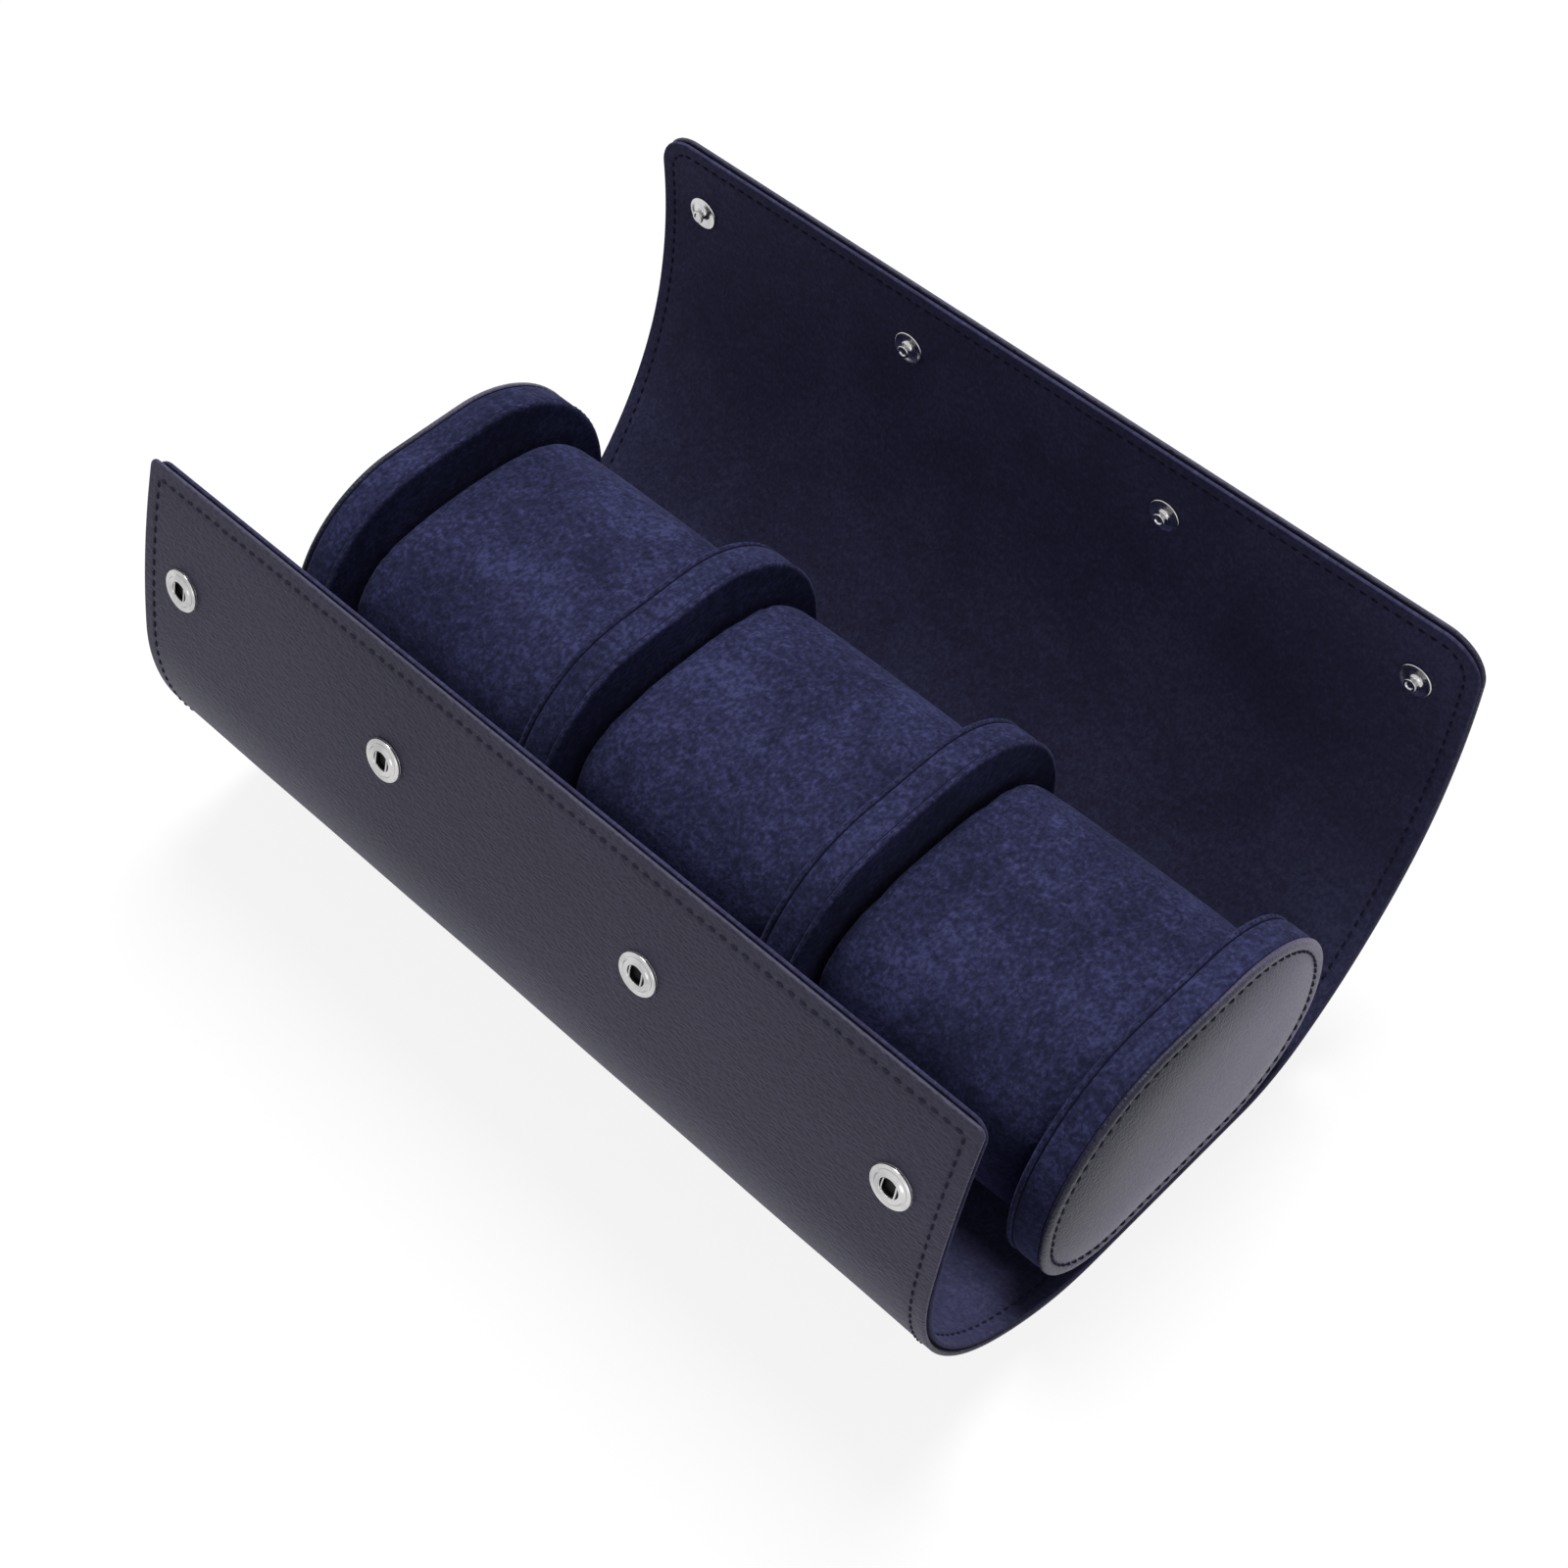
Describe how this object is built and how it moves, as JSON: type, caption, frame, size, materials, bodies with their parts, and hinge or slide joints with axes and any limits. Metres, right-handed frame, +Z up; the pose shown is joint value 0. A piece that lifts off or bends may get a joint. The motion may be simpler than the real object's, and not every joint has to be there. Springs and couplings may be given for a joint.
{
  "type": "watch roll",
  "caption": "Leather roll with a suede lining that stores watches on removable pillows between rounded dividers and closes with snap fasteners.",
  "frame": {"origin": "centre of the flat bottom, on the table", "axes": "+X along the roll toward the right end, +Y toward the rear flap, +Z up"},
  "size_m": [0.24, 0.1708, 0.1127],
  "materials": {
    "leather": "fine-grained, satin",
    "suede": "napped suede",
    "board": "matte fibre board",
    "foam": "foam",
    "steel": "polished nickel plate"
  },
  "bodies": {
    "base": {"base_leather": "leather", "base_lining": "suede", "base_stiffener": "board", "left_divider_band": "suede", "left_divider_core": "foam", "left_divider_faces": "suede", "left_end_band": "suede", "left_end_core": "foam", "left_end_leather_face": "leather", "left_end_suede_face": "suede", "right_divider_band": "suede", "right_divider_core": "foam", "right_divider_faces": "suede", "right_end_band": "suede", "right_end_core": "foam", "right_end_leather_face": "leather", "right_end_suede_face": "suede"},
    "front_flap_1": {"front_flap_leather_1": "leather", "front_flap_lining_1": "suede", "front_flap_stiffener_1": "board"},
    "front_flap_2": {"front_flap_leather_2": "leather", "front_flap_lining_2": "suede", "front_flap_stiffener_2": "board"},
    "front_flap_3": {"front_flap_leather_3": "leather", "front_flap_lining_3": "suede", "front_flap_stiffener_3": "board"},
    "front_flap_4": {"front_flap_leather_4": "leather", "front_flap_lining_4": "suede", "front_flap_stiffener_4": "board"},
    "front_flap_5": {"front_flap_leather_5": "leather", "front_flap_lining_5": "suede", "front_flap_stiffener_5": "board", "snap_sockets": "steel", "snap_springs": "steel", "snap_eyelets": "steel"},
    "rear_flap_1": {"rear_flap_leather_1": "leather", "rear_flap_lining_1": "suede", "rear_flap_stiffener_1": "board"},
    "rear_flap_2": {"rear_flap_leather_2": "leather", "rear_flap_lining_2": "suede", "rear_flap_stiffener_2": "board"},
    "rear_flap_3": {"rear_flap_leather_3": "leather", "rear_flap_lining_3": "suede", "rear_flap_stiffener_3": "board"},
    "rear_flap_4": {"rear_flap_leather_4": "leather", "rear_flap_lining_4": "suede", "rear_flap_stiffener_4": "board"},
    "rear_flap_5": {"rear_flap_leather_5": "leather", "rear_flap_lining_5": "suede", "rear_flap_stiffener_5": "board", "snap_studs": "steel", "snap_caps": "steel"},
    "left_pillow": {"left_pillow_core": "foam", "left_pillow_cover": "suede"},
    "middle_pillow": {"middle_pillow_core": "foam", "middle_pillow_cover": "suede"},
    "right_pillow": {"right_pillow_core": "foam", "right_pillow_cover": "suede"}
  },
  "joints": [
    {"name": "front_flap_bend_1", "type": "hinge", "parent": "base", "child": "front_flap_1", "pos_m": [0, -0.0255, 0.0014], "axis": [1, 0, 0], "range_deg": [-15.26, 10]},
    {"name": "front_flap_bend_2", "type": "hinge", "parent": "front_flap_1", "child": "front_flap_2", "pos_m": [0, -0.0431, 0.00466], "axis": [1, 0, 0], "range_deg": [-24.14, 15.82]},
    {"name": "front_flap_bend_3", "type": "hinge", "parent": "front_flap_2", "child": "front_flap_3", "pos_m": [0, -0.06063, 0.01418], "axis": [1, 0, 0], "range_deg": [-12.19, 7.99]},
    {"name": "front_flap_bend_4", "type": "hinge", "parent": "front_flap_3", "child": "front_flap_4", "pos_m": [0, -0.07907, 0.03737], "axis": [1, 0, 0], "range_deg": [-13.41, 8.79]},
    {"name": "front_flap_bend_5", "type": "hinge", "parent": "front_flap_4", "child": "front_flap_5", "pos_m": [0, -0.08242, 0.06677], "axis": [1, 0, 0], "range_deg": [-11.31, 7.41]},
    {"name": "rear_flap_bend_1", "type": "hinge", "parent": "base", "child": "rear_flap_1", "pos_m": [0, 0.0255, 0.0014], "axis": [-1, 0, 0], "range_deg": [-10.72, 6.2]},
    {"name": "rear_flap_bend_2", "type": "hinge", "parent": "rear_flap_1", "child": "rear_flap_2", "pos_m": [0, 0.04407, 0.00779], "axis": [-1, 0, 0], "range_deg": [-14.48, 8.38]},
    {"name": "rear_flap_bend_3", "type": "hinge", "parent": "rear_flap_2", "child": "rear_flap_3", "pos_m": [0, 0.05958, 0.02331], "axis": [-1, 0, 0], "range_deg": [-19.76, 11.44]},
    {"name": "rear_flap_bend_4", "type": "hinge", "parent": "rear_flap_3", "child": "rear_flap_4", "pos_m": [0, 0.07228, 0.04363], "axis": [-1, 0, 0], "range_deg": [-11.93, 6.9]},
    {"name": "rear_flap_bend_5", "type": "hinge", "parent": "rear_flap_4", "child": "rear_flap_5", "pos_m": [0, 0.08007, 0.06626], "axis": [-1, 0, 0], "range_deg": [-31, 17.94]},
    {"name": "left_pillow_lift", "type": "slide", "parent": "base", "child": "left_pillow", "axis": [0, 0, 1], "range_m": [0, 0.08]},
    {"name": "middle_pillow_lift", "type": "slide", "parent": "base", "child": "middle_pillow", "axis": [0, 0, 1], "range_m": [0, 0.08]},
    {"name": "right_pillow_lift", "type": "slide", "parent": "base", "child": "right_pillow", "axis": [0, 0, 1], "range_m": [0, 0.08]}
  ],
  "couplings": [
    {"joint": "front_flap_bend_2", "follows": "front_flap_bend_1", "ratio": 1.5822},
    {"joint": "front_flap_bend_3", "follows": "front_flap_bend_1", "ratio": 0.7989},
    {"joint": "front_flap_bend_4", "follows": "front_flap_bend_1", "ratio": 0.879},
    {"joint": "front_flap_bend_5", "follows": "front_flap_bend_1", "ratio": 0.741},
    {"joint": "rear_flap_bend_2", "follows": "rear_flap_bend_1", "ratio": 1.3508},
    {"joint": "rear_flap_bend_3", "follows": "rear_flap_bend_1", "ratio": 1.8442},
    {"joint": "rear_flap_bend_4", "follows": "rear_flap_bend_1", "ratio": 1.1131},
    {"joint": "rear_flap_bend_5", "follows": "rear_flap_bend_1", "ratio": 2.893}
  ]
}
